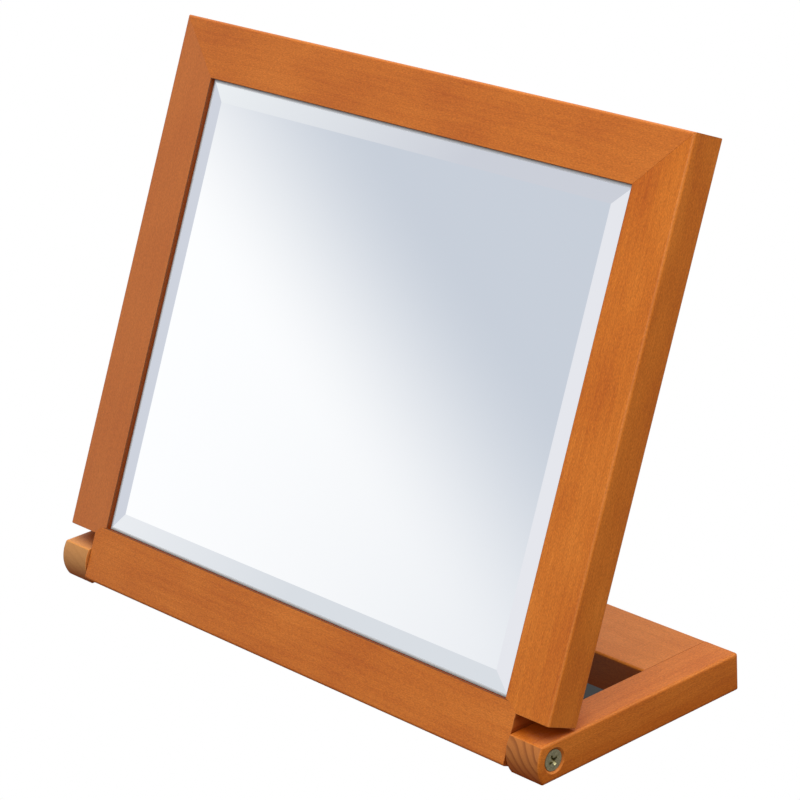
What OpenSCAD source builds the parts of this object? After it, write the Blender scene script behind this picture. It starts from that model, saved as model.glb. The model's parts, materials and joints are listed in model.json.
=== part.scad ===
// Countertop mirror on a hinged wooden stand.
// A bevelled mirror sits in a mitred wooden frame. The frame's bottom rail is held between
// the two arms of a flat U-shaped base by one screw at each end, and tilts about them.
//
// Millimetres, +Z up, X along the hinge axis, +Y towards the back of the base.
// The origin is on the table, at the centre of the footprint.

/* [Mirror frame] */
// Width of the mirror frame
frame_w = 340; // [300:5:420]
// Height of the mirror frame
frame_h = 284; // [250:1:400]
// Thickness of the wood, in the mirror frame and in the base
stock_t = 18.5; // [17:0.5:20]
// Width of each frame member, seen from the front
face_w = 28; // [27:0.5:34]
// Radius on the outer front edges of the frame
front_round = 1.5; // [0.5:0.25:2]
// Radius on the outer back edges of the frame
back_round = 1.25; // [0.5:0.25:3]
// Radius on the edge around the mirror opening
inner_round = 0.5; // [0.25:0.25:1.5]

/* [Mirror and backing] */
// Thickness of the lip of wood that holds the glass from the front
lip_t = 2.6; // [2:0.1:4]
// How far the lip covers the edge of the glass
lip_cover = 5; // [3:0.5:5.5]
// Gap around the glass inside its rabbet
glass_gap = 0.5; // [0.25:0.25:1]
// Thickness of the mirror glass
glass_t = 4; // [3.5:0.5:6]
// Width of the bevel around the glass, the covered part included
bevel_w = 14.5; // [10:0.5:25]
// How much thinner the bevel makes the glass at its edge
bevel_drop = 1.9; // [0.5:0.05:2.2]
// Thickness of the cushion sheet behind the glass
cushion_t = 1; // [0.5:0.25:1.5]
// Thickness of the backing board
board_t = 3; // [2.5:0.5:4]

/* [Hinge] */
// Lean of the mirror, measured from the table
lean = 67.5; // [67:0.5:90]
// How much higher the notches at the frame's lower corners are than the arms are thick
notch_over = 5.2; // [5:0.1:7]
// Thickness of the friction washer between arm and bottom rail
washer_t = 0.5; // [0.5:0.1:1.5]
// Space left between the bottom rail and the table
foot_clear = 0.4; // [0.2:0.1:1]
// Thread diameter of the pivot screws
screw_d = 5; // [4:0.5:5]
// Length of the pivot screws with their heads
screw_l = 30; // [28:1:35]
// Diameter of the pivot screws' countersunk heads
head_d = 9.9; // [8:0.1:10]

/* [Base] */
// Distance from the pivot to the back edge of the base
base_reach = 117.1; // [115:0.1:150]
// Width of the arms
arm_w = 19.5; // [19:0.5:22]
// Depth of the rear rail, front to back
rear_rail_d = 41.5; // [30:0.5:60]
// Radius of the arms' front ends, seen from the side
arm_end_r = 15; // [13:0.5:20]
// Distance from the pivot to the foremost point of the arms
arm_nose = 10.4; // [9.5:0.1:12]
// Radius on the outer long edges of the base, and on its outer corners seen from above
base_round = 1.5; // [0.5:0.25:2]

/* [Hidden] */
$fn = 96;
over = 1; // how far a cutting shape runs past the wood
half_t = stock_t / 2;

// The panel is drawn upright, with the pivot axis through the origin and its front at -Y.
pivot_drop = half_t; // pivot to the underside of the bottom rail
pivot_z = pivot_drop + foot_clear;
front_reach = (half_t - front_round) * (cos(lean) + sin(lean)) + front_round;
pivot_y = (front_reach - base_reach) / 2;
panel_top = frame_h - pivot_drop;
opening_z = face_w - pivot_drop; // lower edge of the mirror opening
panel_mid_z = frame_h / 2 - pivot_drop;

// The two halves meet at the arms' inner faces.
arm_inner = frame_w / 2 - arm_w;
rail_half = arm_inner - washer_t; // half the length of the bottom rail
notch_h = stock_t + notch_over;

// The stiles stand on the ends of the bottom rail along an arc, which starts level at the
// opening's corner and ends a little above the notch's top.
shoulder_lift = 0.2;
shoulder_run = rail_half - (frame_w / 2 - face_w);
shoulder_drop = face_w - notch_h - shoulder_lift;
shoulder_r = (pow(shoulder_run, 2) + pow(shoulder_drop, 2)) / (2 * shoulder_drop);

// The rabbet holds the glass, the cushion sheet and the board, front to back.
pocket_w = frame_w - 2 * face_w + 2 * lip_cover;
pocket_h = frame_h - 2 * face_w + 2 * lip_cover;
glass_w = pocket_w - 2 * glass_gap;
glass_h = pocket_h - 2 * glass_gap;
bevel_at_lip = bevel_drop * (bevel_w - (lip_cover - glass_gap)) / bevel_w;
lip_gap = 0.03;
glass_front = lip_t + lip_gap - bevel_at_lip; // depth of the flat glass behind the frame's face
glass_back = glass_front + glass_t;
board_front = glass_back + cushion_t;
board_back = board_front + board_t;

// Glazing points: thin steel tabs pushed into the rabbet's wall behind the board
point_w = 6;
point_t = 0.5;
point_l = 12;
point_in = 5;
points_across = 3;
points_down = 3;
point_pitch_x = 95;
point_pitch_z = 75;

// V-nails: folded steel strips pressed across the joints from the back, a little below the wood
nail_sunk = 0.5;
nail_leg = 7;
nail_t = 0.6;
nail_h = 10;
top_nail_places = [8, 16]; // from the frame's outer corner, along each edge
low_nail_x = rail_half - 1.5;
low_nail_drop = 6.5; // from the opening's lower edge down to the nail's corner

// Pivot screws
screw_fit = 0.05; // radial running clearance in the arm
sink_r = 6.1; // countersink's mouth
head_land = 0.3;
head_fit = 0.1;
head_sunk = sink_r - head_d / 2 - head_land - head_fit;
cross_w = 1.3;
cross_l = 5.7;
cross_turn = 47.5; // from the frame's depth towards its height
cross_depth = 2.2;

// Threaded inserts in the ends of the bottom rail
insert_r = 4;
insert_l = 15;
glue_gap = 0.02;
washer_r = 6;
washer_bore_r = screw_d / 2 + 0.15;
washer_gap = 0.02;

// Dowels between the arms and the rear rail
dowel_r = 4;
dowel_l = 30;
dowel_spacing = 22;
dowel_end_gap = 0.2;
base_back = pivot_y + base_reach;
rear_mid_y = base_back - rear_rail_d / 2;

wood = "#c8702c";
wood_dark = "#b86423";
end_wood = "#b98050";
glass_colour = "#dfe4ec";
plated = "#a39a68";
steel = "#b4b6b8";

// ---- helpers ----

// Moves a shape drawn around the pivot axis to its place, and leans it back.
module leaning() {
    translate([0, pivot_y, pivot_z]) rotate([lean - 90, 0, 0]) children();
}

// Draws the right-hand part, or mirrors it to the left.
module on_side(side) {
    if (side > 0) children();
    else mirror([1, 0, 0]) children();
}

// Waste outside a rounded corner at the origin of the first quadrant
module corner_waste(r) {
    difference() {
        translate([-over, -over]) square(r + over);
        translate([r, r]) circle(r);
        translate([r, -over]) square([over, r + 2 * over]);
        translate([-over, r]) square([r + 2 * over, over]);
    }
}

// Rectangle of x by y with its four corners rounded
module rounded_rectangle(x, y, r) {
    difference() {
        square([x, y]);
        corner_waste(r);
        translate([x, 0]) mirror([1, 0]) corner_waste(r);
        translate([0, y]) mirror([0, 1]) corner_waste(r);
        translate([x, y]) rotate(180) corner_waste(r);
    }
}

// Rod along X between two stations
module rod_x(r, x0, x1) {
    translate([x0, 0, 0]) rotate([0, 90, 0]) cylinder(r = r, h = x1 - x0);
}

// Cone along X between two stations
module cone_x(r0, r1, x0, x1) {
    translate([x0, 0, 0]) rotate([0, 90, 0]) cylinder(r1 = r0, r2 = r1, h = x1 - x0);
}

// ---- mirror frame ----

// Cross-section of a frame member: x is the depth from the front, y the width from outside
module member_section(back_r) {
    difference() {
        square([stock_t, face_w]);
        translate([lip_t, face_w - lip_cover]) square([stock_t, lip_cover + over]);
        corner_waste(front_round);
        translate([stock_t, 0]) mirror([1, 0]) corner_waste(back_r);
        translate([0, face_w]) mirror([0, 1]) corner_waste(inner_round);
    }
}

// Frame member along X, its outer edge at z = 0 and its inside up, between two stations of its
// outer edge and two of its inner one
module member(low_out, low_in, high_out, high_in, back_r) {
    intersection() {
        translate([low_out - over, -half_t, 0])
            rotate([90, 0, 90])
                linear_extrude(high_out - low_out + 2 * over) member_section(back_r);
        translate([0, half_t + over, 0])
            rotate([90, 0, 0])
                linear_extrude(stock_t + 2 * over)
                    polygon([[low_out, 0], [high_out, 0], [high_in, face_w], [low_in, face_w]]);
    }
}

// Waste above the arc at the bottom rail's right end, through the frame
module shoulder_waste() {
    translate([rail_half - shoulder_run, half_t + over, face_w - shoulder_r - pivot_drop])
        rotate([90, 0, 0])
            linear_extrude(stock_t + 2 * over)
                difference() {
                    square([shoulder_run + over, shoulder_r + over]);
                    circle(shoulder_r);
                }
}

// The notches that take the arms, at both lower corners of the frame
module notches() {
    for (side = [-1, 1])
        on_side(side)
            translate([rail_half, -half_t - over, -pivot_drop - over])
                cube([frame_w / 2 - rail_half + over, stock_t + 2 * over, notch_h + over]);
}

// What the steel driven into the frame's wood takes away; the V-nails leave slots at the back
module frame_fittings() {
    glazing_point_shapes();
    v_nail_shapes(half_t + over);
}

// Both ends are mitred at 45 degrees.
module top_rail_wood() {
    half = frame_w / 2;
    translate([0, 0, panel_top])
        rotate([0, 180, 0])
            member(-half, face_w - half, half, half - face_w, back_round);
}

// The underside is round about the pivot at the back, so that it turns clear of the table.
module bottom_rail_wood() {
    difference() {
        translate([0, 0, -pivot_drop])
            member(-rail_half, -rail_half, rail_half, rail_half, pivot_drop);
        for (side = [-1, 1])
            on_side(side) shoulder_waste();
    }
}

// Mitred at the top, cut square at the bottom and coped over the bottom rail
module stile_wood() {
    translate([frame_w / 2, 0, 0])
        rotate([0, -90, 0])
            member(half_t, half_t, panel_top, panel_top - face_w, back_round);
}

module top_rail() {
    color(wood)
        leaning()
            difference() {
                top_rail_wood();
                frame_fittings();
            }
}

module bottom_rail() {
    color(wood)
        leaning()
            difference() {
                bottom_rail_wood();
                frame_fittings();
                for (side = [-1, 1])
                    on_side(side) insert_hole();
            }
}

module stile(side) {
    color(wood_dark)
        leaning()
            difference() {
                on_side(side) stile_wood();
                notches();
                bottom_rail_wood();
                frame_fittings();
            }
}

module left_stile() { stile(-1); }
module right_stile() { stile(1); }

// ---- glass and backing ----

// Sheet of the rabbet's size, from one depth behind the frame's face to another
module pocket_sheet(front, back) {
    translate([-glass_w / 2, front - half_t, panel_mid_z - glass_h / 2])
        cube([glass_w, back - front, glass_h]);
}

// Cross-section of the bevelled glass over a given width: x across, y the depth
module glass_section(width) {
    polygon([
        [-width / 2, bevel_drop], [bevel_w - width / 2, 0],
        [width / 2 - bevel_w, 0], [width / 2, bevel_drop],
        [width / 2, glass_t], [-width / 2, glass_t],
    ]);
}

module mirror_glass() {
    color(glass_colour)
        leaning()
            translate([0, glass_front - half_t, panel_mid_z])
                intersection() {
                    translate([0, 0, -glass_h / 2]) linear_extrude(glass_h) glass_section(glass_w);
                    translate([-glass_w / 2, 0, 0])
                        rotate([0, 90, 0])
                            linear_extrude(glass_w) glass_section(glass_h);
                }
}

module cushion_sheet() {
    color("white") leaning() pocket_sheet(glass_back, board_front);
}

module backing_board() {
    color("#a5835a") leaning() pocket_sheet(board_front, board_back);
}

// One tab along +X, its middle line on the rabbet's wall at the origin
module glazing_point() {
    translate([point_in - point_l, board_back - half_t, -point_w / 2])
        cube([point_l, point_t, point_w]);
}

module glazing_point_shapes() {
    for (side = [-1, 1]) {
        for (i = [0:points_down - 1])
            on_side(side)
                translate([pocket_w / 2, 0, panel_mid_z + (i - (points_down - 1) / 2) * point_pitch_z])
                    glazing_point();
        for (i = [0:points_across - 1])
            translate([(i - (points_across - 1) / 2) * point_pitch_x, 0, panel_mid_z])
                rotate([0, -90 * side, 0])
                    translate([pocket_h / 2, 0, 0])
                        glazing_point();
    }
}

module glazing_points() {
    color(steel) leaning() glazing_point_shapes();
}

// L-shaped strip with its corner at the origin and its legs along -X and the given Z way,
// from its sharp front edge to the given depth
module v_nail(z_way, back) {
    front = half_t - nail_sunk - nail_h;
    translate([0, front, 0]) {
        translate([-nail_leg, 0, -nail_t / 2]) cube([nail_leg + nail_t / 2, back - front, nail_t]);
        translate([-nail_t / 2, 0, z_way > 0 ? 0 : -nail_leg]) cube([nail_t, back - front, nail_leg]);
    }
}

module v_nail_shapes(back) {
    for (side = [-1, 1])
        on_side(side) {
            for (d = top_nail_places)
                translate([frame_w / 2 - d, 0, panel_top - d]) v_nail(-1, back);
            translate([low_nail_x, 0, opening_z - low_nail_drop]) v_nail(1, back);
        }
}

module corner_v_nails() {
    color(steel) leaning() v_nail_shapes(half_t - nail_sunk);
}

// ---- hinge ----

module insert_hole() {
    rod_x(insert_r, rail_half - insert_l - over, rail_half + over);
}

module insert_nut(side) {
    color(plated)
        leaning()
            on_side(side)
                difference() {
                    rod_x(insert_r - glue_gap, rail_half - insert_l, rail_half);
                    rod_x(screw_d / 2 + glue_gap, rail_half - insert_l - over, rail_half + over);
                }
}

module left_insert_nut() { insert_nut(-1); }
module right_insert_nut() { insert_nut(1); }

module friction_washer(side) {
    color("#d8d4c8")
        leaning()
            on_side(side)
                difference() {
                    rod_x(washer_r, rail_half, arm_inner - washer_gap);
                    rod_x(washer_bore_r, rail_half - over, arm_inner + over);
                }
}

module left_friction_washer() { friction_washer(-1); }
module right_friction_washer() { friction_washer(1); }

// Cross recess: two crossed slots that narrow towards the bottom
module cross_recess(x_top) {
    intersection() {
        for (turn = [cross_turn, cross_turn + 90])
            rotate([turn, 0, 0])
                translate([x_top - cross_depth, -cross_l / 2, -cross_w / 2])
                    cube([cross_depth + over, cross_l, cross_w]);
        cone_x(cross_l / 4, cross_l / 2 + over / 2, x_top - cross_depth, x_top + over);
    }
}

module pivot_screw(side) {
    x_top = frame_w / 2 - head_sunk;
    cone_l = (head_d - screw_d) / 2;
    color(plated)
        leaning()
            on_side(side)
                difference() {
                    union() {
                        rod_x(head_d / 2, x_top - head_land, x_top);
                        cone_x(screw_d / 2, head_d / 2, x_top - head_land - cone_l, x_top - head_land);
                        rod_x(screw_d / 2, x_top - screw_l, x_top - head_land);
                    }
                    cross_recess(x_top);
                }
}

module left_pivot_screw() { pivot_screw(-1); }
module right_pivot_screw() { pivot_screw(1); }

// ---- base ----

// Side view of an arm: x is the distance behind the pivot, y the height above the table
module arm_side_view() {
    end_centre = arm_end_r - arm_nose;
    intersection() {
        union() {
            translate([end_centre, half_t]) circle(arm_end_r);
            translate([end_centre, 0]) square([base_reach - end_centre, stock_t]);
        }
        translate([-arm_nose - over, 0]) square([base_reach + arm_nose + over, stock_t]);
    }
}

// Cross-section of an arm: its inner edges are square, so that it meets the rear rail flush
module arm_cross_section() {
    difference() {
        square([arm_w, stock_t]);
        translate([arm_w, 0]) mirror([1, 0]) corner_waste(base_round);
        translate([arm_w, stock_t]) rotate(180) corner_waste(base_round);
    }
}

module arm_bore() {
    translate([0, pivot_y, pivot_z]) {
        rod_x(screw_d / 2 + screw_fit, arm_inner - over, frame_w / 2 + over);
        cone_x(screw_d / 2, sink_r + over, frame_w / 2 - sink_r + screw_d / 2, frame_w / 2 + over);
    }
}

// Dowel holes or dowels across the joint at the arm's inner face
module dowel_rods(r, length) {
    for (way = [-1, 1])
        translate([0, rear_mid_y + way * dowel_spacing / 2, half_t])
            rod_x(r, arm_inner - length / 2, arm_inner + length / 2);
}

module arm(side) {
    color(wood_dark)
        on_side(side)
            difference() {
                intersection() {
                    translate([arm_inner, pivot_y, 0])
                        rotate([90, 0, 90])
                            linear_extrude(arm_w) arm_side_view();
                    translate([arm_inner, base_back, 0])
                        rotate([90, 0, 0])
                            linear_extrude(base_reach + arm_nose + over)
                                arm_cross_section();
                }
                translate([frame_w / 2, base_back, -over])
                    rotate(180)
                        linear_extrude(stock_t + 2 * over) corner_waste(base_round);
                arm_bore();
                dowel_rods(dowel_r, dowel_l);
            }
}

module left_arm() { arm(-1); }
module right_arm() { arm(1); }

module rear_rail() {
    color(wood)
        difference() {
            translate([-arm_inner, base_back - rear_rail_d, 0])
                rotate([90, 0, 90])
                    linear_extrude(2 * arm_inner)
                        rounded_rectangle(rear_rail_d, stock_t, base_round);
            for (side = [-1, 1])
                on_side(side) dowel_rods(dowel_r, dowel_l);
        }
}

module arm_dowels(side) {
    color(end_wood)
        on_side(side) dowel_rods(dowel_r - glue_gap, dowel_l - dowel_end_gap);
}

module left_arm_dowels() { arm_dowels(-1); }
module right_arm_dowels() { arm_dowels(1); }

// ---- assembly ----

top_rail();
bottom_rail();
left_stile();
right_stile();
mirror_glass();
cushion_sheet();
backing_board();
glazing_points();
corner_v_nails();
left_insert_nut();
right_insert_nut();
left_pivot_screw();
right_pivot_screw();
left_friction_washer();
right_friction_washer();
left_arm();
right_arm();
rear_rail();
left_arm_dowels();
right_arm_dowels();
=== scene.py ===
import json
import math

import bmesh
import bpy
from mathutils import Matrix, Vector


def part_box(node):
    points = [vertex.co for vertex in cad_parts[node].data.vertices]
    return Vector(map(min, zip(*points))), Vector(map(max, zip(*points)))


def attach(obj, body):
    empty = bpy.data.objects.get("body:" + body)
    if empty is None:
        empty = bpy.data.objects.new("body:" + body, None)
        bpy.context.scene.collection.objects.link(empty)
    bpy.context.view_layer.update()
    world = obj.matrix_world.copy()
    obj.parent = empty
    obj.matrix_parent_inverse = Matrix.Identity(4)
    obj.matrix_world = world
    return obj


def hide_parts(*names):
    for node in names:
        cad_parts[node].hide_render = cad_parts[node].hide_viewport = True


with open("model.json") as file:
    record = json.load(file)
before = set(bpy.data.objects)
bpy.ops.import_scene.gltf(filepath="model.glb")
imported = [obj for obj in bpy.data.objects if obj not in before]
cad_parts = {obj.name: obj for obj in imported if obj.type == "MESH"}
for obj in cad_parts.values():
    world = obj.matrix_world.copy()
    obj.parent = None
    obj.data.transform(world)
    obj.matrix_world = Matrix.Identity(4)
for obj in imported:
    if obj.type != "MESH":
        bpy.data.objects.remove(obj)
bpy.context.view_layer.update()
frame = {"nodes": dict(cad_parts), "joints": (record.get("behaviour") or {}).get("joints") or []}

MM = 0.001
CLEAR = 0.01 * MM  # keeps the faces of touching pieces apart
OVER = 1 * MM  # how far a cutting shape runs past the wood
TINY = 1e-6

# ---- sizes, in metres, from the frame ----

TILT = [j for j in frame["joints"] if j["name"] == "mirror_tilt"][0]
PIVOT = Vector(TILT["pos_m"])
LEAN = math.radians(67.5)  # the panel's lean from the table, as packed

top_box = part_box("top_rail")
arm_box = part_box("right_arm")
rear_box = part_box("rear_rail")
rail_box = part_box("bottom_rail")

FRAME_W = top_box[1].x - top_box[0].x
FRAME_H = 284 * MM
STOCK_T = arm_box[1].z - arm_box[0].z
FACE_W = 28 * MM
LIP_T = 2.6 * MM
LIP_COVER = 5 * MM
NOTCH_H = 23.7 * MM
PIVOT_DROP = STOCK_T / 2
RAIL_HALF = rail_box[1].x
ARM_INNER = arm_box[0].x
OPENING_HALF = FRAME_W / 2 - FACE_W
FRONT_ROUND = 1.5 * MM
BACK_ROUND = 1.25 * MM
INNER_ROUND = 0.5 * MM
BASE_ROUND = 1.5 * MM

PANEL_MID_Z = FRAME_H / 2 - PIVOT_DROP
PANEL_TOP = FRAME_H - PIVOT_DROP
POCKET_W = FRAME_W - 2 * (FACE_W - LIP_COVER)
POCKET_H = FRAME_H - 2 * (FACE_W - LIP_COVER)

LIP_GAP = 0.03 * MM  # between the lip and the glass
GLASS_GAP = 0.5 * MM  # around the glass
GLASS_T = 4 * MM
BEVEL_W = 14.5 * MM
BEVEL_DROP = 1.9 * MM
GLASS_FRONT = LIP_T + LIP_GAP - BEVEL_DROP * (BEVEL_W - LIP_COVER + GLASS_GAP) / BEVEL_W

# The panel is drawn upright around the pivot: x across, y from front to back, z up.
PANEL = Matrix.Translation(PIVOT) @ Matrix.Rotation(LEAN - math.pi / 2, 4, "X")


# ---- mesh helpers ----

def arc(cx, cy, r, start, end, steps):
    """Points of an arc from one angle to another, in degrees."""
    angles = [math.radians(start + (end - start) * i / steps) for i in range(steps + 1)]
    return [(cx + r * math.cos(a), cy + r * math.sin(a)) for a in angles]


def as_object(bm, name):
    mesh = bpy.data.meshes.new(name)
    bm.to_mesh(mesh)
    bm.free()
    obj = bpy.data.objects.new(name, mesh)
    bpy.context.scene.collection.objects.link(obj)
    return obj


def apply_modifiers(obj):
    """Gives obj the mesh that its modifiers make, and leaves it without modifiers."""
    graph = bpy.context.evaluated_depsgraph_get()
    graph.update()
    mesh = bpy.data.meshes.new_from_object(obj.evaluated_get(graph), depsgraph=graph)
    old = obj.data
    obj.modifiers.clear()
    obj.data = mesh
    mesh.name = obj.name
    bpy.data.meshes.remove(old)
    return obj


def cut(obj, cutters):
    """Takes the cutters' shapes out of obj."""
    for cutter in cutters:
        mod = obj.modifiers.new("cut", "BOOLEAN")
        mod.operation = "DIFFERENCE"
        mod.solver = "EXACT"
        mod.object = cutter
        apply_modifiers(obj)
    for cutter in cutters:
        bpy.data.objects.remove(cutter)
    return obj


def weld(obj, distance=CLEAR / 5):
    """Joins points that all but touch."""
    bm = bmesh.new()
    bm.from_mesh(obj.data)
    bmesh.ops.remove_doubles(bm, verts=bm.verts, dist=distance)
    bmesh.ops.dissolve_degenerate(bm, edges=bm.edges, dist=distance)
    bm.to_mesh(obj.data)
    bm.free()


def ease_edges(obj, width, picked, segments=4, sharper_than=38):
    """Rounds the sharp edges that picked names."""
    bm = bmesh.new()
    bm.from_mesh(obj.data)
    weight = bm.edges.layers.float.new("bevel_weight_edge")
    for e in bm.edges:
        sharp = len(e.link_faces) == 2 and e.calc_face_angle(0) > math.radians(sharper_than)
        e[weight] = 1 if sharp and picked(e) else 0
    bm.to_mesh(obj.data)
    bm.free()
    mod = obj.modifiers.new("ease", "BEVEL")
    mod.limit_method = "WEIGHT"
    mod.width = width
    mod.segments = segments
    mod.use_clamp_overlap = False
    mod.miter_outer = "MITER_ARC"
    return apply_modifiers(obj)


def smooth(obj, angle=40):
    """Smooth shading with flat faces kept flat."""
    obj.data.shade_smooth()
    obj.data.set_sharp_from_angle(angle=math.radians(angle))
    mod = obj.modifiers.new("normals", "WEIGHTED_NORMAL")
    mod.keep_sharp = True
    mod.weight = 100
    return apply_modifiers(obj)


# Each piece's place in the board that it was sawn from, the turn of its growth rings in degrees,
# how pale its wood is, and how much painted haze, standing for reflected light, it has
BOARDS = {
    "top_rail": ((0.3, 0.011, 0.0), 12, 0.0, 0.3),
    "bottom_rail": ((1.7, -0.006, 0.02), -20, 0.0, 0.2),
    "left_stile": ((3.1, 0.004, 0.05), 30, 0.0, 0.85),
    "right_stile": ((4.9, -0.012, 0.0), -8, 0.0, 0.0),
    "left_arm": ((8.2, 0.0, 0.0), -35, 1.2, 0.0),
    "right_arm": ((6.3, 0.0, 0.0), 38, 0.0, 0.0),
    "rear_rail": ((10.4, 0.01, 0.01), 14, 0.15, 0.0),
}


def store_grain(obj, piece, dark=lambda face: 0):
    """Keeps what the wood's material needs to know: each point's place in its board, how far a face
    is end grain, how pale the board is and how much painted haze it has, where the piece is rounded,
    for a painted highlight, and where dark asks for painted shade. The grain runs along the piece's own x."""
    offset, turn, pale, painted_haze = BOARDS[piece]
    mesh = obj.data
    turning = Matrix.Rotation(math.radians(turn), 4, "X")
    places = [c for v in mesh.vertices for c in turning @ v.co + Vector(offset)]
    mesh.attributes.new("grain", "FLOAT_VECTOR", "POINT").data.foreach_set("vector", places)
    for name, value in (("pale", pale), ("painted_haze", painted_haze)):
        tint = mesh.attributes.new(name, "FLOAT", "POINT")
        tint.data.foreach_set("value", [value] * len(mesh.vertices))
    measures = (
        ("end_grain", lambda face: abs(face.normal.x)),
        ("edge", lambda face: roundness(face.normal)),
        ("dark", dark),
    )
    for name, measure in measures:
        kept = mesh.attributes.new(name, "FLOAT", "FACE")
        kept.data.foreach_set("value", [measure(face) for face in mesh.polygons])


ROUND_END_Z = 0.64  # an arm's round end faces less steeply than this


def roundness(normal):
    """0 on a flat or an arm's round end, 1 halfway round an eased edge."""
    x, y, z = (abs(n) for n in normal)
    flat = max(x, y, z)
    if z < ROUND_END_Z:  # round along the grain is an arm's end, not an edge
        flat = max(flat, math.hypot(x, z))
    return min(1, (1 - flat) / (1 - math.sqrt(0.5)))


def place(obj, matrix, body, *nodes):
    """Puts obj in the row frame, and makes it stand for CAD nodes of a body."""
    obj.data.transform(matrix)
    obj.data.update()
    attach(obj, body)
    if nodes:
        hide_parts(*nodes)
    return obj


# ---- material helpers ----

class Nodes:
    """Short ways to add and link the shader nodes of a material or a world."""

    def __init__(self, owner):
        self.owner = owner
        owner.use_nodes = True
        self.tree = owner.node_tree

    def add(self, kind, inputs=(), **settings):
        node = self.tree.nodes.new(kind)
        for key, value in settings.items():
            setattr(node, key, value)
        for key, value in dict(inputs).items():
            self.put(node.inputs[key], value)
        return node

    def put(self, socket, value):
        if isinstance(value, bpy.types.NodeSocket):
            self.tree.links.new(value, socket)
        else:
            socket.default_value = value

    def math(self, operation, a, b=0.0, c=0.0):
        node = self.add("ShaderNodeMath", operation=operation)
        for socket, value in zip(node.inputs, (a, b, c)):
            self.put(socket, value)
        return node.outputs[0]

    def attribute(self, name):
        return self.add("ShaderNodeAttribute", attribute_name=name).outputs

    def stretched(self, vector, scale):
        node = self.add("ShaderNodeMapping", {"Vector": vector, "Scale": scale})
        return node.outputs[0]

    def noise(self, vector, scale=1.0, detail=2.0, roughness=0.5):
        inputs = {"Vector": vector, "Scale": scale, "Detail": detail, "Roughness": roughness}
        return self.add("ShaderNodeTexNoise", inputs).outputs["Fac"]

    def map_range(self, value, from_low, from_high, to_low=0.0, to_high=1.0, smooth=False):
        node = self.add("ShaderNodeMapRange", {
            "Value": value, "From Min": from_low, "From Max": from_high,
            "To Min": to_low, "To Max": to_high,
        })
        if smooth:
            node.interpolation_type = "SMOOTHSTEP"
        return node.outputs[0]

    def mix(self, factor, a, b, blend="MIX"):
        node = self.add("ShaderNodeMix", data_type="RGBA", blend_type=blend)
        self.put(node.inputs["Factor"], factor)
        self.put(node.inputs[6], a)
        self.put(node.inputs[7], b)
        return node.outputs[2]

    def bump(self, height, strength, distance):
        inputs = {"Height": height, "Strength": strength, "Distance": distance}
        self.surface(Normal=self.add("ShaderNodeBump", inputs).outputs[0])

    def surface(self, **values):
        """Sets or links the surface shader's sockets."""
        shader = self.tree.nodes["Principled BSDF"]
        for key, value in values.items():
            self.put(shader.inputs[key.replace("_", " ")], value)
        return self.owner


def new_material(name):
    return Nodes(bpy.data.materials.new(name))


def rgba(r, g, b):
    return (r, g, b, 1.0)


# ---- wood ----

WOOD = rgba(0.62, 0.166, 0.012)
WOOD_DARK = rgba(0.49, 0.105, 0.006)
WOOD_LIGHT = rgba(0.74, 0.225, 0.024)
WOOD_PALE_AND_HIGHLIGHT = rgba(0.86, 0.36, 0.09)  # lighter wood: for pale boards, and for a painted highlight along eased edges
WOOD_PAINTED_SHADE = rgba(0.105, 0.03, 0.004)  # painted shade on the wall around the mirror and on the rear rail's front
# painted sheen: a greyer, hazier tone, as where the varnish reflects the light
WOOD_HAZE = rgba(0.53, 0.156, 0.040)
WOOD_SHADE = rgba(0.34, 0.045, 0.002)  # in the gaps, where only the wood lights the wood
END_WOOD = rgba(0.52, 0.175, 0.036)
END_RING = rgba(0.30, 0.085, 0.016)
END_PALE = rgba(0.62, 0.285, 0.09)
RING_PITCH = 4.2 * MM
RING_CENTRE = 90 * MM  # the pith lies this far outside the boards
RING_BEND = 9 * MM

# how fast each pattern changes, per metre: along the grain and twice across it
BEND = (9, 45, 45)
FIBRE = (45, 1500, 1500)
FLECK = (280, 1700, 1700)
BAND = (10, 200, 200)
PATCH = (22, 48, 48)
SPECK = (900, 2600, 2600)
PORE = (900, 3200, 3200)
FIBRE_SHARE, BAND_SHARE, PATCH_SHARE, SPECK_SHARE = 0.4, 0.35, 0.8, 0.5
FLECK_SHARE, RING_SHARE = -0.16, -0.09
LATE_FROM, LATE_FULL = 0.40, 0.92  # where in a ring its dark line starts and is darkest

# how much of a colour shows where its cause is at its full
HAZE_SHARE, PALE_SHARE, EDGE_HIGHLIGHT_SHARE = 0.8, 0.7, 0.2
WALL_SHARE, SHADE_SHARE, PORE_SHARE = 0.92, 0.75, 0.35

GAP_REACH = 25 * MM  # how near other wood shades a place
WOOD_SHINE = 0.27


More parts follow.
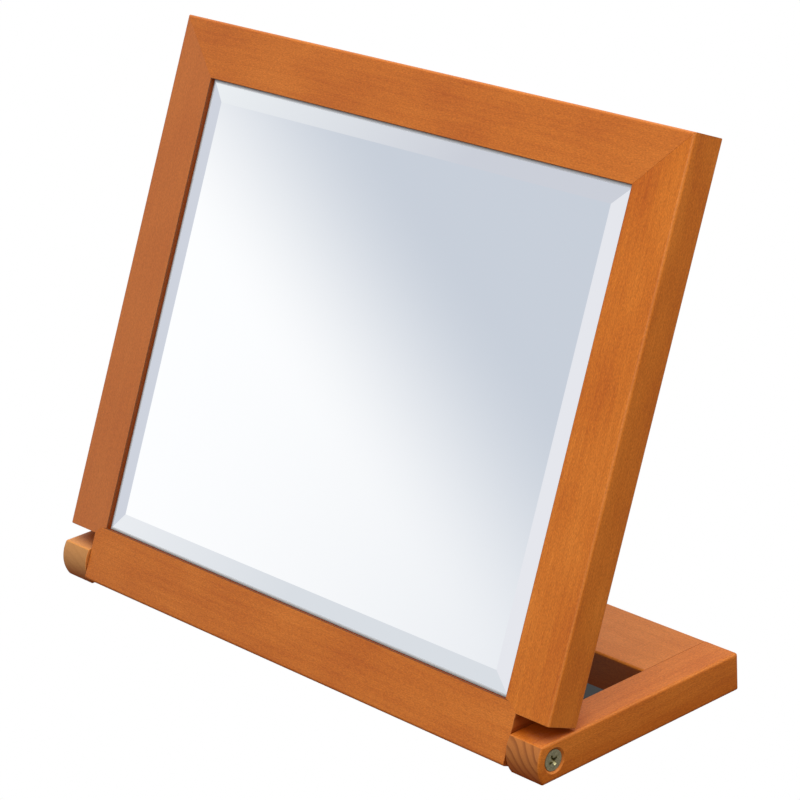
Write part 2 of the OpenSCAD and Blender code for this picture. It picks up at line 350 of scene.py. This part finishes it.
def wood_material():
    n = new_material("stained_wood")
    grain = n.attribute("grain")["Vector"]
    end = n.attribute("end_grain")["Fac"]
    edge = n.attribute("edge")["Fac"]
    pale = n.attribute("pale")["Fac"]
    dark = n.attribute("dark")["Fac"]

    # growth rings: cylinders around the pith, bent by slow noise along the board
    bend = n.noise(n.stretched(grain, BEND), detail=1)
    parts = n.add("ShaderNodeSeparateXYZ", {"Vector": grain}).outputs
    across = n.math("ADD", parts[2], RING_CENTRE)
    radius = n.math("SQRT", n.math("ADD", n.math("MULTIPLY", across, across),
                                   n.math("MULTIPLY", parts[1], parts[1])))
    radius = n.math("ADD", radius, n.math("MULTIPLY", bend, RING_BEND))
    ring = n.math("FRACT", n.math("DIVIDE", radius, RING_PITCH))
    late = n.map_range(ring, LATE_FROM, LATE_FULL, smooth=True)
    late = n.math("MULTIPLY", late, n.map_range(ring, LATE_FULL, 1.0, 1.0, 0.0, smooth=True))

    # long fibres, short flecks, bands, slow patches of stain and fine specks
    fibre = n.noise(n.stretched(grain, FIBRE), detail=2, roughness=0.6)
    fleck = n.noise(n.stretched(grain, FLECK), detail=1)
    fleck = n.map_range(fleck, 0.56, 0.74)
    band = n.noise(n.stretched(grain, BAND), detail=2)
    patch = n.noise(n.stretched(grain, PATCH), detail=1)
    speck = n.noise(n.stretched(grain, SPECK), detail=1)

    tone = 0.5
    shares = ((fibre, FIBRE_SHARE), (band, BAND_SHARE), (patch, PATCH_SHARE), (speck, SPECK_SHARE))
    for pattern, share in shares:
        tone = n.math("MULTIPLY_ADD", n.math("SUBTRACT", pattern, 0.5), share, tone)
    tone = n.math("MULTIPLY_ADD", fleck, FLECK_SHARE, tone)
    tone = n.math("MULTIPLY_ADD", late, RING_SHARE, tone)
    face = n.mix(n.map_range(tone, 0.1, 0.5), WOOD_DARK, WOOD)
    face = n.mix(n.map_range(tone, 0.5, 0.9), face, WOOD_LIGHT)
    # painted sheen: some pieces, most of all the left stile, are drawn hazier
    face = n.mix(n.math("MULTIPLY", n.attribute("painted_haze")["Fac"], HAZE_SHARE), face, WOOD_HAZE)
    face = n.mix(n.math("MULTIPLY", pale, PALE_SHARE), face, WOOD_PALE_AND_HIGHLIGHT)
    # painted highlight: eased edges are drawn lighter, except where painted shade lies
    edge_highlight = n.map_range(edge, 0.15, 1.0, 0.0, EDGE_HIGHLIGHT_SHARE)
    edge_highlight = n.math("MULTIPLY", edge_highlight, n.math("SUBTRACT", 1.0, dark))
    face = n.mix(edge_highlight, face, WOOD_PALE_AND_HIGHLIGHT)

    grainy = n.map_range(speck, 0.25, 0.75, 0.87, 1.11)
    grainy = n.add("ShaderNodeCombineColor", {"Red": grainy, "Green": grainy, "Blue": grainy})
    face = n.mix(1.0, face, grainy.outputs[0], "MULTIPLY")

    pore = n.noise(n.stretched(grain, PORE), detail=2)
    contrast = n.math("MULTIPLY_ADD", pale, -0.7, 0.95)  # pale wood has faint rings
    ends = n.mix(n.math("MULTIPLY", late, contrast), n.mix(pale, END_WOOD, END_PALE), END_RING)
    ends = n.mix(n.map_range(pore, 0.45, 0.75, 0.0, PORE_SHARE), ends, END_RING)
    is_end = n.map_range(end, 0.58, 0.8)
    colour = n.mix(is_end, face, ends)
    # painted shade: where dark is 1 the wood turns almost black
    colour = n.mix(n.math("MULTIPLY", dark, WALL_SHARE), colour, WOOD_PAINTED_SHADE)

    # in the gaps between the pieces the wood is darker and doesn't shine
    open_air = n.add("ShaderNodeAmbientOcclusion", {"Distance": GAP_REACH}, samples=8).outputs["AO"]
    shaded = n.mix(SHADE_SHARE, colour, WOOD_SHADE)
    colour = n.mix(n.map_range(open_air, 0.25, 0.8, 1.0, 0.0), colour, shaded)

    rough = n.map_range(tone, 0.1, 0.9, 0.44, 0.34)
    rough = n.math("MULTIPLY_ADD", is_end, 0.12, rough)
    height = n.math("SUBTRACT", n.math("MULTIPLY", fibre, 0.6), n.math("MULTIPLY", fleck, 0.5))
    height = n.math("MULTIPLY_ADD", late, -0.3, height)
    n.bump(height, 0.2, 0.04 * MM)
    shine = n.map_range(open_air, 0.3, 0.8, 0.0, WOOD_SHINE)
    return n.surface(Base_Color=colour, Roughness=rough, Specular_IOR_Level=shine)


MITRE_EASE = 0.15 * MM
ARC_EASE = 0.25 * MM
NOTCH_EASE = 0.5 * MM
RAIL_END_EASE = 0.4 * MM
NAIL_END = 2 * MM  # what lies nearer the back than this is the outer end of a nail
NOTCH_TOP = NOTCH_H - PIVOT_DROP
WALL_FROM, WALL_BLEND = 0.1, 0.3  # the slope at which the painted shade on the opening's wall starts, and grows full

# The stiles stand on the bottom rail's ends along an arc that starts level at the opening's corner.
SHOULDER_LIFT = 0.2 * MM
SHOULDER_RUN = RAIL_HALF - OPENING_HALF
SHOULDER_DROP = FACE_W - NOTCH_H - SHOULDER_LIFT
SHOULDER_R = (SHOULDER_RUN ** 2 + SHOULDER_DROP ** 2) / (2 * SHOULDER_DROP)
SHOULDER_Z = FACE_W - PIVOT_DROP - SHOULDER_R  # height of the arc's centre
SHOULDER_TURN = math.degrees(math.asin(SHOULDER_RUN / SHOULDER_R))


def frame_section(back_round, inset=0):
    """Outline of a frame member, drawn in by inset: y the depth from the front, z the width."""
    steps = 7
    front, inner = FRONT_ROUND, INNER_ROUND
    t, w = STOCK_T, FACE_W
    wall, lip = w - LIP_COVER - inset, LIP_T - inset
    back_steps = 24 if back_round > BACK_ROUND else steps
    return [
        *arc(front, front, front - inset, 180, 270, steps),
        *arc(t - back_round, back_round, back_round - inset, 270, 360, back_steps),
        (t - inset, wall), (lip, wall), (lip, w - inset),
        *arc(inner, w - inner, inner - inset, 90, 180, steps),
    ]


def member_rings(low, high, back_round, ease, steps=3):
    """Outlines from one end to the other, the ends' edges eased. An end is the station of its
    outer edge and that of its inner edge."""
    turns = [math.pi / 2 * i / steps for i in range(steps + 1)]
    rings = []
    for end, (outer, inner) in ((-1, low), (1, high)):
        slope = (inner - outer) / FACE_W
        for turn in turns if end > 0 else reversed(turns):
            back = end * (CLEAR + ease * (1 - math.sin(turn)))
            section = frame_section(back_round, ease * (1 - math.cos(turn)))
            rings.append([(outer + slope * z - back, y, z) for y, z in section])
    return rings


def skin(rings):
    """Closed solid through rings of points, each of the same length."""
    bm = bmesh.new()
    loops = [[bm.verts.new(p) for p in ring] for ring in rings]
    for one, two in zip(loops, loops[1:]):
        for i in range(len(one)):
            j = (i + 1) % len(one)
            bm.faces.new((one[i], one[j], two[j], two[i]))
    bm.faces.new(loops[0][::-1])
    bm.faces.new(loops[-1])
    bmesh.ops.recalc_face_normals(bm, faces=bm.faces)
    return bm


def cad_cutter(node, through_back=False):
    """Solid of the space that a CAD node fills, and of the way to it from the panel's back."""
    bm = bmesh.new()
    bm.from_mesh(frame["nodes"][node].data)
    bmesh.ops.remove_doubles(bm, verts=bm.verts, dist=TINY / 10)
    if through_back:
        bm.transform(PANEL.inverted())
        for v in bm.verts:
            if v.co.y > STOCK_T / 2 - NAIL_END:
                v.co.y = STOCK_T / 2 + OVER
        bm.transform(PANEL)
    return as_object(bm, "cutter")


def opening_wall_shade(face):
    """1 on the thin wall around the opening, which gets painted shade, 0 on the front face."""
    if face.center.z < FACE_W - INNER_ROUND or face.center.y > LIP_T:
        return 0
    return min(1, max(0, (face.normal.z - WALL_FROM) / WALL_BLEND))


def panel_prism(outline, front, back):
    """Solid with a given outline in the panel's x and z, between two depths behind its face."""
    return as_object(skin([[(x, y - STOCK_T / 2, z) for x, z in outline] for y in (front, back)]), "prism")


def shoulder_arc(side, gap=0.0):
    """Line along which a stile meets the bottom rail, moved out by gap."""
    points = arc(OPENING_HALF, SHOULDER_Z, SHOULDER_R + gap, 90, 90 - SHOULDER_TURN, 24)
    return [(side * x, z) for x, z in points]


def shoulder_waste(side):
    """What is cut off the bottom rail's end above the arc."""
    far, top = side * (RAIL_HALF + OVER), FACE_W - PIVOT_DROP + OVER
    past_the_end = 50 - SHOULDER_TURN / 2
    arc_points = arc(OPENING_HALF, SHOULDER_Z, SHOULDER_R, 90, past_the_end, 32)
    points = [(side * x, z) for x, z in arc_points if x < RAIL_HALF + OVER]
    outline = [*points, (far, points[-1][1]), (far, top), (points[0][0], top)]
    return panel_prism(outline, -OVER, STOCK_T + OVER)


def cope_waste(side):
    """The bottom rail's shape at the foot of a stile: its lip, and its body behind the lip."""
    near, far = side * (OPENING_HALF - OVER), side * RAIL_HALF
    top = FACE_W - PIVOT_DROP + CLEAR
    floor = top - LIP_COVER
    lip = [(near, -OVER), (far, -OVER), *shoulder_arc(side, CLEAR)[::-1], (near, top)]
    body = [(near, -OVER), (far, -OVER), (far, floor), (near, floor)]
    return [panel_prism(lip, -OVER, LIP_T + CLEAR), panel_prism(body, LIP_T / 2, STOCK_T + OVER)]


def notch(side):
    """The room for an arm, at the foot of a stile."""
    near, far = side * RAIL_HALF, side * (FRAME_W / 2 + OVER)
    outline = [(near, -PIVOT_DROP), (far, -PIVOT_DROP), (far, NOTCH_TOP), (near, NOTCH_TOP)]
    return panel_prism(outline, -OVER, STOCK_T + OVER)


def frame_member(name, low, high, pose, back_round=BACK_ROUND, ease=MITRE_EASE, wastes=()):
    """One member, from its low end to its high one. pose takes its own axes (x along, y depth,
    z in from outside) to the panel; wastes are cut off it, in the panel's axes."""
    obj = as_object(skin(member_rings(low, high, back_round, ease)), name)
    to_panel = pose @ Matrix.Translation((0, -STOCK_T / 2, 0))
    for waste in wastes:
        waste.data.transform(to_panel.inverted())
    cut(obj, wastes)

    def over_arm(edge):
        ends = [to_panel @ v.co for v in edge.verts]
        level = all(abs(p.z - NOTCH_TOP) < TINY for p in ends)
        return level and any(abs(p.x) > RAIL_HALF + MITRE_EASE for p in ends)

    def on_arc(edge):
        for v in edge.verts:
            p = to_panel @ v.co
            off = math.hypot(abs(p.x) - OPENING_HALF, p.z - SHOULDER_Z) - SHOULDER_R
            if abs(off) > 2 * CLEAR or abs(p.x) < OPENING_HALF - CLEAR or p.z < NOTCH_TOP:
                return False
        return True

    if wastes:
        weld(obj)
        ease_edges(obj, NOTCH_EASE, over_arm)
        ease_edges(obj, ARC_EASE, on_arc, segments=2)
        weld(obj)
    cutters = [cad_cutter("glazing_points"), cad_cutter("corner_v_nails", through_back=True)]
    if name == "bottom_rail":
        cutters += [cad_cutter("left_insert_nut"), cad_cutter("right_insert_nut")]
    for cutter in cutters:
        cutter.data.transform((PANEL @ to_panel).inverted())
    cut(obj, cutters)
    smooth(obj)
    store_grain(obj, name, opening_wall_shade)
    obj.data.materials.append(wood)
    place(obj, PANEL @ to_panel, "mirror", name)
    obj.visible_glossy = False  # the studio shows in the bevels right up to the lip
    return obj


def make_frame():
    quarter = math.pi / 2
    half = FRAME_W / 2
    bottom = Matrix.Translation((0, 0, -PIVOT_DROP))
    top = Matrix.Translation((0, 0, PANEL_TOP)) @ Matrix.Rotation(2 * quarter, 4, "Y")
    right = Matrix.Translation((half, 0, 0)) @ Matrix.Rotation(-quarter, 4, "Y")
    left = Matrix.Translation((-half, 0, 0)) @ Matrix.Rotation(quarter, 4, "Y")
    frame_member("top_rail", (-half, FACE_W - half), (half, half - FACE_W), top)
    frame_member("bottom_rail", (-RAIL_HALF, -RAIL_HALF), (RAIL_HALF, RAIL_HALF), bottom,
                 PIVOT_DROP - CLEAR, RAIL_END_EASE, [shoulder_waste(-1), shoulder_waste(1)])
    frame_member("left_stile", (-PANEL_TOP, FACE_W - PANEL_TOP), (-PIVOT_DROP, -PIVOT_DROP), left,
                 wastes=[notch(-1), *cope_waste(-1)])
    frame_member("right_stile", (PIVOT_DROP, PIVOT_DROP), (PANEL_TOP, PANEL_TOP - FACE_W), right,
                 wastes=[notch(1), *cope_waste(1)])


# ---- base ----

ARM_END_R = 15 * MM
ARM_NOSE = PIVOT.y - arm_box[0].y
ARM_BACK = arm_box[1].y - PIVOT.y
SINK_R = 6.1 * MM
SINK_EASE = 0.35 * MM
BORE_R = 2.55 * MM
END_EASE = 1.2 * MM
INNER_EASE = 0.25 * MM
REAR_SHADE = 0.5  # how dark the rear rail's front is, in the shade between the arms


def arm_outline(inset, corner):
    """Side view of an arm, drawn in by inset: (y behind the pivot, z above the table)."""
    r = ARM_END_R - inset
    centre = ARM_END_R - ARM_NOSE
    mid = STOCK_T / 2
    low, high, back = inset, STOCK_T - inset, ARM_BACK - inset
    ease = max(corner - inset, 2 * CLEAR)
    dy = math.sqrt((r - ease) ** 2 - (mid - inset - ease) ** 2)
    slope = math.degrees(math.atan2(mid - inset - ease, dy))
    return [
        *arc(centre - dy, high - ease, ease, 90, 180 - slope, 5),
        *arc(centre, mid, r, 180 - slope, 180 + slope, 24)[1:-1],
        *arc(centre - dy, low + ease, ease, 180 + slope, 270, 5),
        *arc(back - ease, low + ease, ease, 270, 360, 5),
        *arc(back - ease, high - ease, ease, 0, 90, 5),
    ]


def eased_layers(outline, width, inner_round, outer_round, steps=6):
    """Layers across an arm's width, with its edges rounded at both faces."""
    turns = [math.pi / 2 * i / steps for i in range(steps + 1)]

    def layer(radius, turn, place_at):
        return place_at(radius * (1 - math.sin(turn))), outline(radius * (1 - math.cos(turn)))

    inner = [layer(inner_round, t, lambda d: d) for t in reversed(turns)]
    outer = [layer(outer_round, t, lambda d: width - d) for t in turns]
    return inner + outer


def turned(profile, sides=96):
    """Solid of revolution about the x axis; the profile is (x, r) from one end to the other."""
    angles = [2 * math.pi * i / sides for i in range(sides)]
    return skin([[(x, r * math.cos(t), r * math.sin(t)) for t in angles] for x, r in profile])


def sink_profile(width):
    """Bore and countersink of an arm, with its mouth eased: (x, r) from the inner face out."""
    mouth_x = width - SINK_EASE
    mouth_r = SINK_R - SINK_EASE + SINK_EASE * math.sqrt(2)
    mouth = arc(mouth_x, mouth_r, SINK_EASE, -45, -6, 6)
    return [(-OVER, BORE_R), (width - SINK_R + BORE_R, BORE_R), *mouth, (width + OVER, mouth[-1][1])]


def arm(side):
    """The base's left arm for side -1, its right one for 1; drawn with its inner face at x = 0."""
    name = "right_arm" if side > 0 else "left_arm"
    width = FRAME_W / 2 - ARM_INNER
    layers = eased_layers(lambda inset: arm_outline(inset, END_EASE), width, INNER_EASE, BASE_ROUND)
    obj = as_object(skin([[(x, y, z) for y, z in points] for x, points in layers]), name)
    sink = as_object(turned(sink_profile(width)), "sink")
    sink.data.transform(Matrix.Translation((0, 0, PIVOT.z)))
    cut(obj, [sink])
    smooth(obj, angle=32)
    # the board's grain runs along the arm, so the mesh is turned into the board's axes and back
    along = Matrix(((0, 1, 0, 0), (1, 0, 0, 0), (0, 0, 1, 0), (0, 0, 0, 1)))
    obj.data.transform(along)
    store_grain(obj, name)
    obj.data.transform(along)
    pose = Matrix.Translation((ARM_INNER, PIVOT.y, 0))
    if side < 0:
        pose = Matrix.Scale(-1, 4, (1, 0, 0)) @ pose
        obj.data.flip_normals()
    obj.data.materials.append(wood)
    place(obj, pose, "base", name)
    return obj


def rear_rail():
    depth = rear_box[1].y - rear_box[0].y
    half = ARM_INNER - CLEAR
    r = BASE_ROUND
    section = [
        *arc(r, r, r, 180, 270, 6), *arc(depth - r, r, r, 270, 360, 6),
        *arc(depth - r, STOCK_T - r, r, 0, 90, 6), *arc(r, STOCK_T - r, r, 90, 180, 6),
    ]
    obj = as_object(skin([[(x, y, z) for y, z in section] for x in (-half, half)]), "rear_rail")
    smooth(obj)
    store_grain(obj, "rear_rail", lambda face: REAR_SHADE if face.normal.y < -0.9 else 0)
    obj.data.materials.append(wood)
    place(obj, Matrix.Translation((0, rear_box[0].y, 0)), "base", "rear_rail")
    return obj


# ---- mirror ----

SILVER = rgba(0.905, 0.945, 0.935)
RIM_GREY = rgba(0.23, 0.225, 0.21)
FRONT, SIDES, BACK = 0, 1, 2  # the glass's materials, in their order
RIM = 1.7 * MM  # width of the grey edge that shows inside the lip


def silver_material():
    """Clean silver, and the grey rim where the rim attribute is 1."""
    n = new_material("mirror_silver")
    rim = n.attribute("rim")["Fac"]
    return n.surface(Base_Color=n.mix(rim, SILVER, RIM_GREY), Metallic=n.math("SUBTRACT", 1.0, rim),
                     Roughness=n.math("MULTIPLY", rim, 0.5))


def mirror_glass():
    """Bevelled mirror, drawn with its flat front at y = 0."""
    half_w = POCKET_W / 2 - GLASS_GAP
    half_h = POCKET_H / 2 - GLASS_GAP
    lip = LIP_COVER - GLASS_GAP
    bm = bmesh.new()
    rim_of = bm.verts.layers.float.new("rim")

    def rectangle(inset, y, rim=0):
        w, h = half_w - inset, half_h - inset
        corners = [bm.verts.new(p) for p in ((-w, y, -h), (w, y, -h), (w, y, h), (-w, y, h))]
        for v in corners:
            v[rim_of] = rim
        return corners

    def on_bevel(inset, rim):
        return rectangle(inset, BEVEL_DROP * (1 - inset / BEVEL_W), rim)

    back_y = GLASS_T - 2 * CLEAR  # clear of the cushion's face
    rings = [
        on_bevel(BEVEL_W, 0), on_bevel(lip + RIM, 0), on_bevel(lip, 1), on_bevel(0, 1),
        rectangle(0, back_y, 1),
    ]
    bm.faces.new(rings[0])
    for one, two, slot in zip(rings, rings[1:], (FRONT, FRONT, FRONT, SIDES)):
        for i in range(4):
            j = (i + 1) % 4
            bm.faces.new((one[i], one[j], two[j], two[i])).material_index = slot
    bm.faces.new(rings[-1][::-1]).material_index = BACK
    bmesh.ops.recalc_face_normals(bm, faces=bm.faces)
    obj = as_object(bm, "mirror_glass")
    obj.data.materials.append(silver_material())
    obj.data.materials.append(plain_material("glass_edge", rgba(0.20, 0.36, 0.31), 0.1, 0.15))
    obj.data.materials.append(plain_material("mirror_back", rgba(0.30, 0.31, 0.33), 0.15, 0.6))
    depth = Matrix.Translation((0, GLASS_FRONT - STOCK_T / 2, PANEL_MID_Z))
    place(obj, PANEL @ depth, "mirror", "mirror_glass")
    return obj


# ---- small parts that keep their CAD shape ----

def plain_material(name, colour, spread, roughness, metallic=0.0, scale=400):
    """Colour with a fine mottle; spread is how much darker its dark places are."""
    n = new_material(name)
    mottle = n.noise(n.add("ShaderNodeTexCoord").outputs["Object"], scale, detail=3)
    dark = rgba(*(c * (1 - spread) for c in colour[:3]))
    tint = n.mix(n.map_range(mottle, 0.3, 0.7), dark, colour)
    rough = n.map_range(mottle, 0.3, 0.7, roughness - 0.06, roughness + 0.06)
    n.bump(mottle, 0.15, 0.05 * MM)
    return n.surface(Base_Color=tint, Roughness=rough, Metallic=metallic)


def dress(material, *nodes):
    for name in nodes:
        obj = frame["nodes"][name]
        obj.data.materials.clear()
        obj.data.materials.append(material)


def dress_small_parts():
    zinc = plain_material("yellow_zinc", rgba(0.56, 0.52, 0.30), 0.45, 0.36, metallic=1.0, scale=1800)
    steel = plain_material("steel", rgba(0.60, 0.61, 0.62), 0.2, 0.3, metallic=1.0, scale=700)
    board = plain_material("backing_board", rgba(0.23, 0.12, 0.055), 0.35, 0.62, scale=900)
    foam = plain_material("foam", rgba(0.86, 0.86, 0.84), 0.06, 0.8, scale=1500)
    washer = plain_material("washer", rgba(0.72, 0.68, 0.58), 0.1, 0.5)
    raw = plain_material("raw_wood", rgba(0.58, 0.37, 0.18), 0.15, 0.6)
    dress(zinc, "left_pivot_screw", "right_pivot_screw", "left_insert_nut", "right_insert_nut")
    dress(steel, "glazing_points", "corner_v_nails")
    dress(board, "backing_board")
    dress(foam, "cushion_sheet")
    dress(washer, "left_friction_washer", "right_friction_washer")
    dress(raw, "left_arm_dowels", "right_arm_dowels")


# ---- studio ----

# the point that the camera looks at, its direction and roll in degrees, its distance in metres,
# and its lens and sensor in millimetres
AIM = Vector((0.01398, 0.00732, 0.1190))
AZIMUTH, ELEVATION, ROLL = 48.938, 20.938, -3.327
DISTANCE = 1.46675
LENS, SENSOR = 142.66, 36


def add_camera():
    az, el = math.radians(AZIMUTH), math.radians(ELEVATION)
    back = Vector((math.cos(el) * math.sin(az), -math.cos(el) * math.cos(az), math.sin(el)))
    data = bpy.data.cameras.new("camera")
    data.lens, data.sensor_width = LENS, SENSOR
    camera = bpy.data.objects.new("camera", data)
    turn = back.to_track_quat("Z", "Y").to_matrix().to_4x4() @ Matrix.Rotation(math.radians(ROLL), 4, "Z")
    camera.matrix_world = Matrix.Translation(AIM + back * DISTANCE) @ turn
    bpy.context.scene.collection.objects.link(camera)
    bpy.context.scene.camera = camera


def add_light(name, place_at, aim, size, watts, colour=(1, 1, 1)):
    """Soft light from a rectangle that the camera doesn't see itself."""
    data = bpy.data.lights.new(name, "AREA")
    data.shape = "RECTANGLE"
    data.size, data.size_y = size
    data.energy = watts
    data.color = colour
    light = bpy.data.objects.new(name, data)
    facing = (Vector(place_at) - Vector(aim)).to_track_quat("Z", "Y").to_matrix().to_4x4()
    light.matrix_world = Matrix.Translation(place_at) @ facing
    light.visible_transmission = False
    light.visible_camera = False
    bpy.context.scene.collection.objects.link(light)


FLOOR_DROP = 0.1 * MM  # clear of the base's underside
SHADOW_LEVEL = 0.055
SHADOW_BLUR = 1 * MM
UNDER_ARM, UNDER_RAIL = 3 * MM, 5 * MM  # the shadow's edges lie out of sight under the base


def add_floor():
    bm = bmesh.new()
    bmesh.ops.create_grid(bm, x_segments=2, y_segments=2, size=4)
    obj = as_object(bm, "floor")
    obj.location.z = -FLOOR_DROP
    n = new_material("floor")
    # white, but in shadow between the arms
    where = n.add("ShaderNodeTexCoord").outputs["Object"]
    x, y, _ = n.add("ShaderNodeSeparateXYZ", {"Vector": where}).outputs
    aside = n.math("MAXIMUM", n.math("SUBTRACT", n.math("ABSOLUTE", x), ARM_INNER + UNDER_ARM),
                   n.math("SUBTRACT", PIVOT.y + SHADOW_BLUR, y))
    aside = n.math("MAXIMUM", aside, n.math("SUBTRACT", y, arm_box[1].y - UNDER_RAIL))
    lit = n.map_range(aside, -SHADOW_BLUR, SHADOW_BLUR, SHADOW_LEVEL, 1.0)
    n.surface(Base_Color=rgba(0, 0, 0), Roughness=1.0, Specular_IOR_Level=0.0,
              Emission_Color=rgba(1, 1, 1), Emission_Strength=lit)
    obj.data.materials.append(n.owner)
    # it neither lights the object nor shows in it
    obj.visible_diffuse = False
    obj.visible_glossy = False


# The studio is pale grey-blue all round, with a soft white screen to the left of the mirror.
# The flat glass and the four bevels each see their own part of it.
# Azimuths and elevations are in degrees; azimuth 0 is straight in front of the object.
STUDIO_GREY = rgba(0.635, 0.660, 0.750)
STUDIO_WHITE = rgba(1.088, 1.052, 1.076)
SCREEN_EDGE = (-46.0, 11.02)  # azimuth and elevation of a point on the screen's upper edge
SCREEN_SLOPE = -0.489
SCREEN_BLUR = 4.4
SCREEN_FADE = 0.0046  # towards the right, with the square of the azimuth from SCREEN_LEFT
SCREEN_LEFT = -51.0
TOP_LEFT = rgba(0.937, 0.931, 0.967)  # what the top bevel sees, above the screen
TOP_RIGHT = rgba(0.660, 0.660, 0.740)
LOW_LEFT = rgba(0.920, 0.905, 0.950)  # what the bottom bevel sees
LOW_RIGHT = rgba(0.765, 0.772, 0.830)
FAR_LEFT = rgba(0.682, 0.688, 0.774)  # what the left bevel sees
FAR_RIGHT = rgba(0.868, 0.845, 0.906)  # what the right bevel sees
TABLE_GREY = rgba(0.26, 0.255, 0.265)
# where one of these gives way to the next, in degrees of elevation or of azimuth (the TURNs)
TOP_FROM, TOP_TURN = (17.5, 20.5), (-55.8, -50.9)
LOW_UNDER, LOW_TURN = (-1.0, 3.0), (-49.3, -45.5)
LEFT_TURN, RIGHT_TURN = (-59.0, -57.0), (-37.0, -33.0)
TABLE_UNDER = (-16.0, -8.0)
AMBIENT = 0.5  # the share of it that lights the wood


def add_world():
    """What the mirror and the varnish reflect; it lights the wood only a little."""
    n = Nodes(bpy.data.worlds.new("studio"))
    bpy.context.scene.world = n.owner
    back = n.tree.nodes["Background"]
    way = n.add("ShaderNodeTexCoord").outputs["Generated"]
    x, y, z = n.add("ShaderNodeSeparateXYZ", {"Vector": way}).outputs
    azimuth = n.math("MULTIPLY", n.math("ARCTAN2", x, n.math("MULTIPLY", y, -1.0)), math.degrees(1))
    elevation = n.math("MULTIPLY", n.math("ARCSINE", z), math.degrees(1))
    edge_azimuth, edge_elevation = SCREEN_EDGE
    beside = n.math("SUBTRACT", azimuth, edge_azimuth)
    line = n.math("MULTIPLY_ADD", beside, SCREEN_SLOPE, edge_elevation)
    above = n.math("SUBTRACT", elevation, line)
    white = n.map_range(above, -SCREEN_BLUR / 2, SCREEN_BLUR / 2, 1.0, 0.0, smooth=True)
    far = n.math("SUBTRACT", azimuth, SCREEN_LEFT)
    fade = n.math("MULTIPLY_ADD", n.math("MULTIPLY", far, far), -SCREEN_FADE, 1.0)
    white = n.math("MULTIPLY", white, n.math("MAXIMUM", fade, 0.0))
    colour = n.mix(white, STUDIO_GREY, STUDIO_WHITE)
    top = n.mix(n.map_range(azimuth, *TOP_TURN), TOP_LEFT, TOP_RIGHT)
    colour = n.mix(n.map_range(elevation, *TOP_FROM), colour, top)
    low = n.mix(n.map_range(azimuth, *LOW_TURN), LOW_LEFT, LOW_RIGHT)
    colour = n.mix(n.map_range(elevation, *LOW_UNDER, 1.0, 0.0), colour, low)
    colour = n.mix(n.map_range(azimuth, *LEFT_TURN, 1.0, 0.0), colour, FAR_LEFT)
    colour = n.mix(n.map_range(azimuth, *RIGHT_TURN), colour, FAR_RIGHT)
    colour = n.mix(n.map_range(elevation, *TABLE_UNDER, 1.0, 0.0), colour, TABLE_GREY)
    is_diffuse = n.add("ShaderNodeLightPath").outputs["Is Diffuse Ray"]
    n.put(back.inputs["Color"], colour)
    n.put(back.inputs["Strength"], n.map_range(is_diffuse, 0.0, 1.0, 1.0, AMBIENT))


def add_studio():
    add_camera()
    add_floor()
    add_world()
    add_light("overhead", (0.35, 0.15, 1.4), aim=(0.1, 0.05, 0), size=(2.0, 2.2), watts=25.5,
              colour=(1.0, 0.99, 0.82))
    add_light("front", (0.45, -1.2, 0.75), aim=(0, 0, 0.13), size=(0.6, 0.6), watts=4.8)
    settings = bpy.context.scene.view_settings
    settings.view_transform = "Standard"
    settings.look = "None"


wood = wood_material()
make_frame()
arm(-1)
arm(1)
rear_rail()
mirror_glass()
dress_small_parts()
add_studio()
